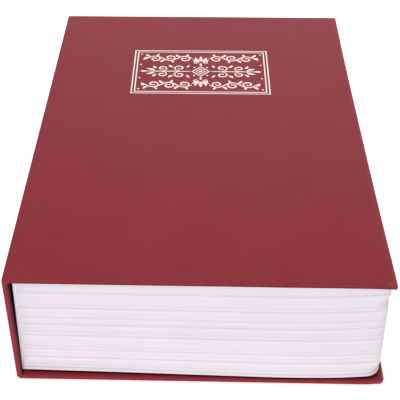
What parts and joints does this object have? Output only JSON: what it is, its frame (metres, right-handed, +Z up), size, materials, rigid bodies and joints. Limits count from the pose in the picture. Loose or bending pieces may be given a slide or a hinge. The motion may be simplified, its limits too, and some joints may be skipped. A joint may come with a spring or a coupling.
{
  "type": "book diversion safe",
  "caption": "Hardback book with a steel lock box inside: cover and spine fold back to show a keyed, hinged lid set in a white page block.",
  "frame": {"origin": "middle of the closed book's footprint, on the surface that it lies on", "axes": "+Z up through the covers, +X towards the fore-edge with the spine at -X, +Y towards the head with the tail at -Y"},
  "size_m": [0.1564, 0.24, 0.055],
  "materials": {
    "red_covering": "dark red leatherette bookbinding paper, matt, fine grain",
    "grey_board": "pressed grey board",
    "black_lining": "matt black lining paper",
    "white_plastic": "satin moulded white plastic",
    "black_steel": "black powder coat, fine texture",
    "plated_steel": "zinc plated",
    "lock_chrome": "satin chrome"
  },
  "bodies": {
    "case": {"back_board": "grey_board", "back_covering": "red_covering", "back_lining": "black_lining", "back_joint": "red_covering", "page_block": "white_plastic", "box_pan": "black_steel", "pan_hinge_leaf": "black_steel", "hinge_pin": "plated_steel", "lock_strike": "black_steel", "floor_rivet_1": "plated_steel", "floor_rivet_2": "plated_steel", "floor_rivet_3": "plated_steel", "floor_rivet_4": "plated_steel"},
    "spine": {"spine_covering": "red_covering", "spine_board": "grey_board", "spine_lining": "black_lining", "front_joint": "red_covering"},
    "front_cover": {"front_board": "grey_board", "front_covering": "red_covering", "front_lining": "black_lining"},
    "lid": {"lid_panel": "black_steel", "lid_hinge_leaf": "black_steel", "lock_housing": "lock_chrome", "lock_nut": "plated_steel"},
    "lock_core": {"lock_plug": "lock_chrome", "lock_cam": "plated_steel", "cam_screw": "plated_steel"}
  },
  "joints": [
    {"name": "spine_hinge", "type": "hinge", "parent": "case", "child": "spine", "pos_m": [-0.0754, 0, 0.0014], "axis": [0, -1, 0], "range_deg": [0, 88], "deforming": ["back_joint"]},
    {"name": "cover_hinge", "type": "hinge", "parent": "spine", "child": "front_cover", "pos_m": [-0.0768, 0, 0.0536], "axis": [0, -1, 0], "range_deg": [0, 92], "deforming": ["front_joint"]},
    {"name": "lid_hinge", "type": "hinge", "parent": "case", "child": "lid", "pos_m": [-0.06945, 0, 0.0503], "axis": [0, -1, 0], "range_deg": [0, 92]},
    {"name": "lock_turn", "type": "hinge", "parent": "lid", "child": "lock_core", "pos_m": [0.0468, 0, 0.0502], "axis": [0, 0, 1], "range_deg": [0, 90]}
  ],
  "couplings": [
    {"joint": "lid_hinge", "follows": "cover_hinge", "ratio": 1}
  ]
}
